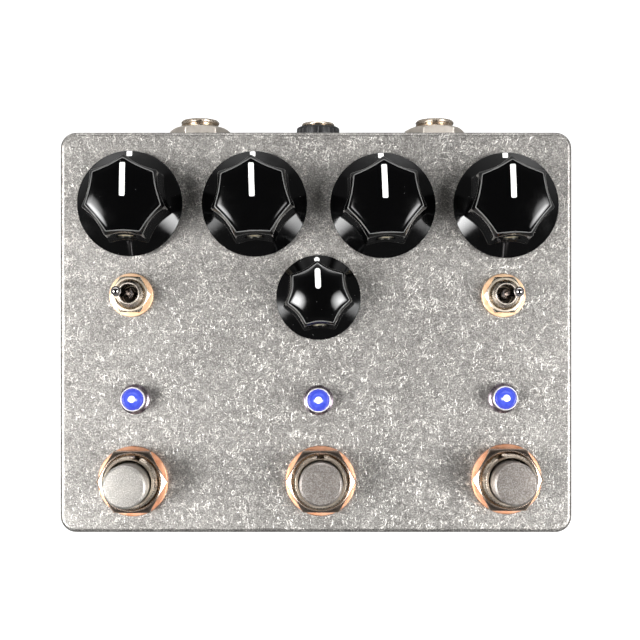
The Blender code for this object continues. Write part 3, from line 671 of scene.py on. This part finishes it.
def knob_mesh(size):
    """A skirted knob: crowned seven-sided top, chamfer, hollow flutes, cone and turned rim."""
    meridians = []
    for angle, off in polygon_angles(LOBES, 0.5 * math.pi):
        levels = zip((size["base"], size["shoulder"], size["top"]), (0.5, 0.45, 0.35))
        base, shoulder, top = [polygon_reach(LOBES, off, radius, corner * MM, hollow)
                               for (radius, hollow), corner in levels]
        edge = dome_height(size, top)
        bore_top = size["height"] - 2.5 * MM
        profile = rounded([
            (KNOB_BORE, bore_top),
            (KNOB_BORE, KNOB_RECESS_TOP),
            (size["recess"], KNOB_RECESS_TOP),
            (size["recess"], KNOB_FOOT),
            (size["skirt"], KNOB_FOOT, 0.15 * MM),
            (size["skirt"], KNOB_LIP, 0.2 * MM),
            (base, cone_height(size, base), 0.35 * MM),
            (shoulder, edge - size["chamfer"], 0.6 * MM),
            (top, edge, 0.2 * MM),
        ])
        rim = len(profile) - 1
        for share in (0.9, 0.8, 0.7, 0.6, 0.5, 0.4, 0.3, 0.2, 0.1):
            profile.append((share * top, dome_height(size, share * top)))
        meridians.append((angle, profile))
    mesh = lofted_round(meridians)
    # painted highlight: the shoulder fillet's faces at about a third and the top edge's faces at
    # full strength are marked for the plastic's pale grey edge colour
    wear_and_painted_highlight = mesh.attributes.new("painted_edge_highlight", "FLOAT", "FACE")
    around = len(meridians)
    for ring, share in ((rim - 9, 0.35), (rim - 4, 1.0)):
        for face in range(ring * around, (ring + 4) * around):
            wear_and_painted_highlight.data[face].value = share
    screw_hole = turned([(2.2 * MM, 2.5 * MM), (2.2 * MM, size["base"][0] + 1.0 * MM)], 48)
    moved(screw_hole, z=size["screw_height"], turn=ALONG_MINUS_Y)
    return combine(mesh, [("DIFFERENCE", screw_hole)])


def inlay_mesh(low_y, high_y, half_width, corner, height_at, lift=0.035 * MM):
    """A thin painted bar along Y that follows the surface below it."""
    half_y = 0.5 * (high_y - low_y)
    middle = 0.5 * (high_y + low_y)
    order = [(share, -lift) for share in (0.25, 0.5, 0.75, 1.0)]
    order += [(share, lift) for share in (1.0, 0.97, 0.75, 0.5, 0.25)]
    rings = []
    for share, level in order:
        ring = []
        for x, y, _ in rounded_rectangle(half_width, half_y, corner, 0.0, 8, 10):
            x, y = share * x, share * y + middle
            drop = 0.4 * lift if share == 1.0 and level > 0 else 0.0
            ring.append((x, y, height_at(math.hypot(x, y)) + level - drop))
        rings.append(ring)
    return loft(rings)


def set_screw_mesh(size):
    """A headless screw in the front flute, with a hexagon socket in its outer end."""
    radius, start, end = 1.9 * MM, 2.7 * MM, size["screw_end"]
    rings = [circle(radius - 0.3 * MM, start, 48)]
    rings += screw_thread(radius, 0.5 * MM, start + 0.2 * MM, end - 0.3 * MM, 48)
    rings.append(circle(radius - 0.15 * MM, end, 48))
    socket = turned([(0.85 * MM, end - 1.2 * MM), (0.85 * MM, end + 0.5 * MM)], 6)
    mesh = combine(loft(rings), [("DIFFERENCE", socket)])
    return moved(mesh, z=size["screw_height"], turn=ALONG_MINUS_Y)


def make_knobs():
    """Five knobs with their painted pointers, skirt marks and set screws."""
    kits = {}
    for label, size in (("large", LARGE_KNOB), ("small", SMALL_KNOB)):
        low, high, half_width, corner = size["line"]
        line = inlay_mesh(low, high, half_width, corner,
                          lambda reach, s=size: dome_height(s, reach))
        spot, half, corner = size["mark"]
        mark = inlay_mesh(spot - half, spot + half, half, corner,
                          lambda reach, s=size: cone_height(s, reach))
        kits[label] = (knob_mesh(size), line, mark, set_screw_mesh(size))
    for i, turn in enumerate(KNOB_TURNS, start=1):
        knob, line, mark, screw = kits["small" if i == 5 else "large"]
        body = f"control_{i}"
        spot = (*axis_of(f"knob_{i}"), PANEL)
        rest = (0.0, 0.0, math.radians(turn))
        piece(f"knob_{i}_shell", knob, "knob_plastic", body, spot, rest, nodes=[f"knob_{i}"])
        piece(f"knob_{i}_pointer", line, "pointer_white", body, spot, rest)
        piece(f"knob_{i}_skirt_mark", mark, "pointer_white", body, spot, rest)
        piece(f"knob_{i}_set_screw", screw, "set_screw_brass", body, spot, rest,
              nodes=[f"knob_screw_{i}"])


# ------------------------------------------------------- fixings, switches and lamps

def nut_mesh(flats, bore, low, high, corner=0.15 * MM):
    """A hex nut whose corners are turned off at the top."""
    meridians = []
    for angle, off in polygon_angles(6, 0.0, 8):
        reach = polygon_reach(6, off, 0.5 * flats / math.cos(math.pi / 6.0), corner)
        turned_off = (reach - 0.485 * flats) * math.tan(math.radians(28.0))
        profile = rounded([
            (bore, low), (0.48 * flats, low),
            (reach, low + 0.1 * MM, 0.05 * MM),
            (reach, high - turned_off, 0.06 * MM), (0.485 * flats, high),
            (bore + 0.4 * MM, high, 0.1 * MM), (bore, high - 0.4 * MM)])
        meridians.append((angle, profile))
    return lofted_round(meridians, closed=True)


def ring_mesh(outer, inner, low, high, edge, fall=0.0):
    """A ring with rounded outer edges, flat or falling away towards its rim."""
    return turned(rounded([(inner, low), (outer, low, edge), (outer, high - fall, edge),
                           (inner, high, 0.6 * edge)]), 96, closed=True)


def lug(x, y, top, length, half_x=1.2 * MM, half_y=0.4 * MM):
    """A flat solder lug."""
    return block((x - half_x, y - half_y, top - length), (x + half_x, y + half_y, top))


def bushing_mesh(radius, bore, foot, top, pitch, chamfer, well=None, lip=0.08 * MM):
    """A threaded bushing with a chamfered mouth, bored through or down to a well."""
    width, height = chamfer
    rings = screw_thread(radius, pitch, foot, top - height - 0.1 * MM)
    mouth = rounded([(radius, foot), (radius, top - height, 0.05 * MM),
                     (radius - width, top, 0.08 * MM), (bore, top, lip),
                     (bore, foot if well is None else well)])
    rings += [circle(reach, z, 64) for reach, z in mouth[1:]]
    return loft(rings, closed=well is None)


def bevelled_block(half_x, half_y, low, high, edge=0.5 * MM, bevel=0.3 * MM):
    """A block with rounded upright edges and bevelled ends."""
    levels = ((low, bevel), (low + bevel, 0.0), (high - bevel, 0.0), (high, bevel))
    return loft([rounded_rectangle(half_x - inset, half_y - inset, edge, z, 4)
                 for z, inset in levels])


def housing_mesh(node, top, lugs):
    """The sealed housing behind the panel, as large as its node allows, with its lugs."""
    low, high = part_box(node)
    half_x, half_y = 0.5 * (high.x - low.x), 0.5 * (high.y - low.y)
    bottom = low.z - PANEL + (3.5 * MM if lugs else 0.0)
    housing = bevelled_block(half_x, half_y, bottom, top)
    return combine(housing, [("UNION", gathered(lugs))] if lugs else [])


def make_toggles():
    """Two lever switches: housing, bushing, copper washer, nut and bat lever."""
    bushing = bushing_mesh(3.0 * MM, 2.1 * MM, SWITCH_INSIDE, 5.7 * MM, 0.64 * MM,
                           (0.55 * MM, 0.8 * MM), SWITCH_WELL, 0.18 * MM)
    keyway = block((-0.45 * MM, 2.5 * MM, -1.0 * MM), (0.45 * MM, 3.5 * MM, 7.0 * MM))
    bushing = combine(bushing, [("DIFFERENCE", keyway)])
    washer = ring_mesh(5.0 * MM, 3.3 * MM, 0.05 * MM, 0.8 * MM, 0.18 * MM, 0.14 * MM)
    nut = nut_mesh(8.0 * MM, 3.05 * MM, 0.85 * MM, 2.9 * MM)
    ball = [(1.3 * MM * math.cos(angle), 1.3 * MM * math.sin(angle))
            for angle in (math.radians(step) for step in range(-54, 50, 4))]
    tip = [(1.15 * MM * math.cos(angle), 7.95 * MM + 1.15 * MM * math.sin(angle))
           for angle in (math.radians(step) for step in range(-12, 89, 5))]
    lever = turned([(0.7 * MM, -4.4 * MM)] + ball + rounded([
        (0.8 * MM, 1.1 * MM), (0.8 * MM, 4.6 * MM, 4.0 * MM), (1.0 * MM, 6.9 * MM)]) + tip, 48)
    pivots = {joint["child"]: joint["pos_m"] for joint in frame["joints"]
              if joint["type"] == "hinge"}
    for side, lean in (("left", -LEVER_LEAN), ("right", LEVER_LEAN)):
        x, y = axis_of(f"toggle_{side}_nut")
        spot = (x, y, PANEL)
        housing = housing_mesh(f"toggle_{side}_body", SWITCH_INSIDE, [])
        piece(f"toggle_{side}_housing", housing, "housing_plastic", "case", spot)
        piece(f"toggle_{side}_bushing", bushing, "nickel_bushing.toggle", "case", spot,
              nodes=[f"toggle_{side}_body"])
        piece(f"toggle_{side}_copper_washer", washer, "copper_washer.toggle", "case", spot,
              nodes=[f"toggle_{side}_washer"])
        piece(f"toggle_{side}_hex_nut", nut, "nickel_nut.toggle", "case", spot,
              nodes=[f"toggle_{side}_nut"])
        piece(f"toggle_{side}_bat", lever, "lever_chrome", f"bat_{side}", pivots[f"bat_{side}"],
              (0.0, math.radians(lean), 0.0), nodes=[f"toggle_{side}_lever"])


def make_footswitches():
    """Three press switches: housing, keyed bushing, copper washer, nut and button."""
    bushing = bushing_mesh(6.0 * MM, 5.1 * MM, SWITCH_INSIDE, 8.7 * MM, 1.0 * MM,
                           (0.35 * MM, 0.35 * MM), SWITCH_WELL, 0.15 * MM)
    keyway = block((-0.85 * MM, 5.3 * MM, -1.0 * MM), (0.85 * MM, 6.5 * MM, 10.0 * MM))
    bushing = combine(bushing, [("DIFFERENCE", keyway)])
    washer = ring_mesh(8.0 * MM, 6.3 * MM, 0.05 * MM, 1.0 * MM, 0.25 * MM, 0.14 * MM)
    nut = nut_mesh(14.0 * MM, 6.05 * MM, 1.05 * MM, 4.0 * MM)
    button = turned(rounded([(4.75 * MM, 2.7 * MM), (4.75 * MM, 15.82 * MM, 0.1 * MM),
                             (4.3 * MM, 16.11 * MM, 0.12 * MM), (2.0 * MM, 16.15 * MM)], 5), 96)
    for side, key, lean in FOOTSWITCHES:
        spot = (*axis_of(f"footswitch_nut_{side}"), PANEL)
        lugs = [lug(5.0 * MM * i, 5.0 * MM * j, -15.0 * MM, 4.1 * MM)
                for i in (-1, 0, 1) for j in (-1, 0, 1)]
        housing = housing_mesh(f"footswitch_{side}", SWITCH_INSIDE, lugs)
        piece(f"footswitch_{side}_housing", housing, "housing_plastic", "case", spot)
        piece(f"footswitch_{side}_bushing", bushing, "nickel_bushing", "case", spot,
              (0.0, 0.0, math.radians(key)), nodes=[f"footswitch_{side}"])
        piece(f"footswitch_{side}_copper_washer", washer, "copper_washer", "case", spot,
              nodes=[f"footswitch_washer_{side}"])
        piece(f"footswitch_{side}_hex_nut", nut, "nickel_nut", "case", spot,
              nodes=[f"footswitch_nut_{side}"])
        metal, mesh = "button_dark", button
        if side == "left":          # its own mesh, because it has its own finish
            metal, mesh = "button_light", button.copy()
        piece(f"footswitch_{side}_button", mesh, metal, f"press_{side}", spot,
              (math.radians(lean), 0.0, 0.0), nodes=[f"button_{side}"])


def make_lamps():
    """Three blue lamps, each in a flanged metal bezel with a lip painted near white for the lamp's
    glow.
    """
    radius, top = 2.4 * MM, 6.4 * MM
    low = top - 8.7 * MM
    rings = [(2.9 * MM, low), (2.9 * MM, low + 0.9 * MM), (radius, low + 1.0 * MM)]
    for step in range(17):
        angle = math.radians(88.0 * step / 16)
        rings.append((radius * math.cos(angle), top - radius + radius * math.sin(angle)))
    legs = [block((x - 0.25 * MM, -0.25 * MM, -11.8 * MM),
                  (x + 0.25 * MM, 0.25 * MM, low + 0.3 * MM)) for x in (-1.27 * MM, 1.27 * MM)]
    lens = combine(turned(rings), [("UNION", gathered(legs))])
    bezel = turned(rounded([
        (2.5 * MM, -1.0 * MM), (3.1 * MM, -1.0 * MM), (3.1 * MM, 0.02 * MM), (3.45 * MM, 0.02 * MM),
        (3.4 * MM, 0.7 * MM, 0.25 * MM), (2.82 * MM, 0.95 * MM, 0.15 * MM), (2.75 * MM, 4.15 * MM),
        (2.5 * MM, 4.15 * MM)]), 96, closed=True)
    lip = turned(rounded([
        (2.45 * MM, 4.2 * MM), (2.78 * MM, 4.2 * MM), (2.72 * MM, 4.6 * MM, 0.1 * MM),
        (2.45 * MM, 4.6 * MM, 0.08 * MM)]), 96, closed=True)
    for side in SIDES:
        spot = (*axis_of(f"led_bezel_{side}"), PANEL)
        piece(f"lamp_{side}_lens", lens, "led_blue", "case", spot, nodes=[f"led_{side}"])
        piece(f"lamp_{side}_bezel", bezel, "bezel_chrome", "case", spot,
              nodes=[f"led_bezel_{side}"])
        piece(f"lamp_{side}_lip", lip, "bezel_chrome.painted_glow_lip", "case", spot)


# ----------------------------------------------------------------- rear sockets

def make_sockets():
    """Two audio sockets and the power socket, drawn along +Z and turned to face the rear."""
    outwards = (math.radians(-90.0), 0.0, 0.0)
    wall_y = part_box("jack_nut_left")[0].y - 0.65 * MM
    collar = bushing_mesh(4.6 * MM, 3.3 * MM, SOCKET_INSIDE - 1.0 * MM, 5.4 * MM, 0.79 * MM,
                          (0.35 * MM, 0.4 * MM))
    nut = nut_mesh(12.7 * MM, 4.65 * MM, 0.65 * MM, 3.4 * MM, 0.4 * MM)
    washer = ring_mesh(6.6 * MM, 4.9 * MM, 0.05 * MM, 0.6 * MM, 0.12 * MM)
    for side in ("left", "right"):
        low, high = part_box(f"jack_nut_{side}")
        middle = 0.5 * (low + high)
        spot = (middle.x, wall_y, middle.z)
        back = SOCKET_INSIDE - 21.8 * MM
        shell = bevelled_block(6.5 * MM, 4.8 * MM, back, SOCKET_INSIDE)
        well = turned([(4.7 * MM, back + 1.0 * MM), (4.7 * MM, 1.0 * MM)], 48)
        shell = combine(shell, [("DIFFERENCE", well)])
        piece(f"jack_{side}_housing", shell, "dc_nut_plastic", "case", spot, outwards)
        piece(f"jack_{side}_collar", collar, "nickel_bushing", "case", spot, outwards,
              nodes=[f"jack_{side}"])
        piece(f"jack_{side}_washer", washer, "nickel_nut.jack", "case", spot, outwards)
        piece(f"jack_{side}_hex_nut", nut, "nickel_nut.jack", "case", spot,
              (outwards[0], math.radians(JACK_NUT_TURN), 0.0), nodes=[f"jack_nut_{side}"])
    low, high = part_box("dc_jack_nut")
    spot = (0.5 * (low.x + high.x), wall_y, 0.5 * (low.z + high.z))
    collar = bushing_mesh(3.95 * MM, 3.1 * MM, SOCKET_INSIDE, 4.75 * MM, 0.75 * MM,
                          (0.2 * MM, 0.35 * MM))
    liner = turned(rounded([(3.05 * MM, -11.0 * MM), (3.05 * MM, 4.5 * MM, 0.05 * MM),
                            (2.8 * MM, 4.2 * MM, 0.1 * MM), (2.8 * MM, -10.4 * MM)]), 64)
    body = turned(rounded([(4.5 * MM, -14.0 * MM), (4.8 * MM, -13.7 * MM),
                           (4.8 * MM, SOCKET_INSIDE, 0.2 * MM), (3.2 * MM, SOCKET_INSIDE),
                           (3.2 * MM, -11.6 * MM)]), 64)
    pin = turned(rounded([(1.0 * MM, -10.2 * MM), (1.05 * MM, 3.7 * MM, 0.3 * MM),
                          (0.2 * MM, 3.75 * MM)]), 32)
    ring = ring_mesh(5.15 * MM, 4.0 * MM, 0.1 * MM, 3.75 * MM, 0.45 * MM)
    flutes = []
    for i in range(24):
        angle = 2.0 * math.pi * i / 24
        cutter = turned([(0.22 * MM, 0.6 * MM), (0.22 * MM, 3.1 * MM)], 8)
        flutes.append(moved(cutter, 5.2 * MM * math.cos(angle), 5.2 * MM * math.sin(angle)))
    ring = combine(ring, [("DIFFERENCE", gathered(flutes))])
    piece("dc_socket_body", body, "dc_nut_plastic", "case", spot, outwards)
    piece("dc_socket_collar", collar, "nickel_bushing", "case", spot, outwards, nodes=["dc_jack"])
    piece("dc_socket_liner", liner, "dc_nut_plastic", "case", spot, outwards)
    piece("dc_socket_pin", pin, "lever_chrome", "case", spot, outwards)
    piece("dc_socket_nut", ring, "dc_nut_plastic", "case", spot, outwards, nodes=["dc_jack_nut"])


def finish_hidden_nodes():
    """Better finishes on the frame's own solids that stay: board, pots and shafts."""
    finishes = {"circuit_board": "board"}
    for i in range(1, 6):
        finishes[f"pot_{i}"] = "pot_steel"
        finishes[f"pot_shaft_{i}"] = "pot_steel"
    for node, finish in finishes.items():
        frame["nodes"][node].material_slots[0].material = FINISHES[finish]


# -------------------------------------------------------------- stage and camera

def softbox(name, azimuth, radiance):
    """A gridded light panel facing the pedal, with that radiance straight in front of it."""
    light = bpy.data.lights.new(name, "AREA")
    light.shape = "RECTANGLE"
    light.size, light.size_y = SOFTBOX_SIZE
    half = math.radians(SOFTBOX_FADE)
    beam = 0.5 * math.sin(half) ** 2 - (0.5 * half - 0.25 * math.sin(2.0 * half)) / math.tan(half)
    light.spread = 2.0 * half
    light.energy = radiance * 2.0 * math.pi * beam * light.size * light.size_y
    lamp = bpy.data.objects.new(name, light)
    bpy.context.scene.collection.objects.link(lamp)
    around, down = math.radians(azimuth), math.radians(SOFTBOX_TILT)
    way = Vector((math.sin(down) * math.cos(around), math.sin(down) * math.sin(around),
                  math.cos(down)))
    lamp.location = Vector((0.0, 0.0, PANEL)) + SOFTBOX_DISTANCE * way
    lamp.rotation_euler = way.to_track_quat("Z", "Y").to_euler()
    lamp.visible_camera = False


def make_world():
    """A dim room: dark overhead, a paler band low down, and lightest at the rear."""
    world = bpy.data.worlds.new("studio")
    world.use_nodes = True
    nodes, links = world.node_tree.nodes, world.node_tree.links
    way = nodes.new("ShaderNodeTexCoord").outputs["Generated"]
    parts = nodes.new("ShaderNodeSeparateXYZ")
    links.new(way, parts.inputs[0])
    ramp = nodes.new("ShaderNodeValToRGB")
    stops = ramp.color_ramp.elements
    levels = ((0.0, 0.16), (0.14, 0.16), (0.2, 0.7), (0.35, 0.7), (0.42, 0.11), (0.67, 0.07),
              (0.8, 0.028), (0.92, 0.016))
    while len(stops) < len(levels):
        stops.new(0.5)
    for stop, (place, level) in zip(stops, levels):
        stop.position = place
        stop.color = (level, level, level, 1.0)
    links.new(parts.outputs["Z"], ramp.inputs[0])
    rear = nodes.new("ShaderNodeMath")
    rear.operation = "MULTIPLY_ADD"
    links.new(parts.outputs["Y"], rear.inputs[0])
    rear.inputs[1].default_value = 12.0
    rear.inputs[2].default_value = -6.0
    floor = nodes.new("ShaderNodeMath")
    floor.operation = "MAXIMUM"
    links.new(rear.outputs[0], floor.inputs[0])
    floor.inputs[1].default_value = 1.0
    shade = nodes["Background"]
    links.new(ramp.outputs[0], shade.inputs["Color"])
    links.new(floor.outputs[0], shade.inputs["Strength"])
    backdrop = nodes.new("ShaderNodeBackground")
    backdrop.inputs["Color"].default_value = (PALE, PALE, PALE, 1.0)
    seen = nodes.new("ShaderNodeMixShader")
    links.new(nodes.new("ShaderNodeLightPath").outputs["Is Camera Ray"], seen.inputs[0])
    links.new(shade.outputs[0], seen.inputs[1])
    links.new(backdrop.outputs[0], seen.inputs[2])
    links.new(seen.outputs[0], nodes["World Output"].inputs["Surface"])
    bpy.context.scene.world = world


def make_floor():
    """A wide white floor under the pedal, overexposed to the camera as a lit sweep is."""
    half = 6.0
    rim = [(-half, -half), (half, -half), (half, half), (-half, half)]
    mesh = bpy.data.meshes.new("floor")
    mesh.from_pydata([(x, y, -FLOOR_GAP) for x, y in rim], [], [(0, 1, 2, 3)])
    floor = bpy.data.objects.new("floor", mesh)
    bpy.context.scene.collection.objects.link(floor)
    sheet = Finish("pale_floor", Roughness=0.9)
    seen = sheet.node("ShaderNodeLightPath").outputs["Is Camera Ray"]
    sheet.set("Base Color", (0.2, 0.2, 0.2, 1.0))
    sheet.set("Emission Color", (1.0, 1.0, 1.0, 1.0))
    sheet.set("Emission Strength", sheet.math("MULTIPLY", seen, PALE))
    mesh.materials.append(sheet.material)


def make_camera():
    """The camera straight above the panel, a little in front of its middle."""
    lens = bpy.data.cameras.new("camera")
    lens.lens = 80.0
    lens.sensor_width = 36.0
    lens.shift_x = 0.00625
    lens.shift_y = 0.125
    lens.clip_start = 0.01
    camera = bpy.data.objects.new("camera", lens)
    bpy.context.scene.collection.objects.link(camera)
    camera.location = CAMERA_SPOT
    bpy.context.scene.camera = camera


def make_studio():
    """Two large gridded softboxes left and right, in a dim room."""
    make_world()
    make_floor()
    for side, azimuth, radiance in SOFTBOXES:
        softbox(f"{side}_softbox", azimuth, radiance)
    make_camera()
    bpy.context.scene.view_settings.view_transform = "Standard"


make_enclosure()
make_base_plate()
make_lid_screws()
make_knobs()
make_toggles()
make_footswitches()
make_lamps()
make_sockets()
finish_hidden_nodes()
make_studio()
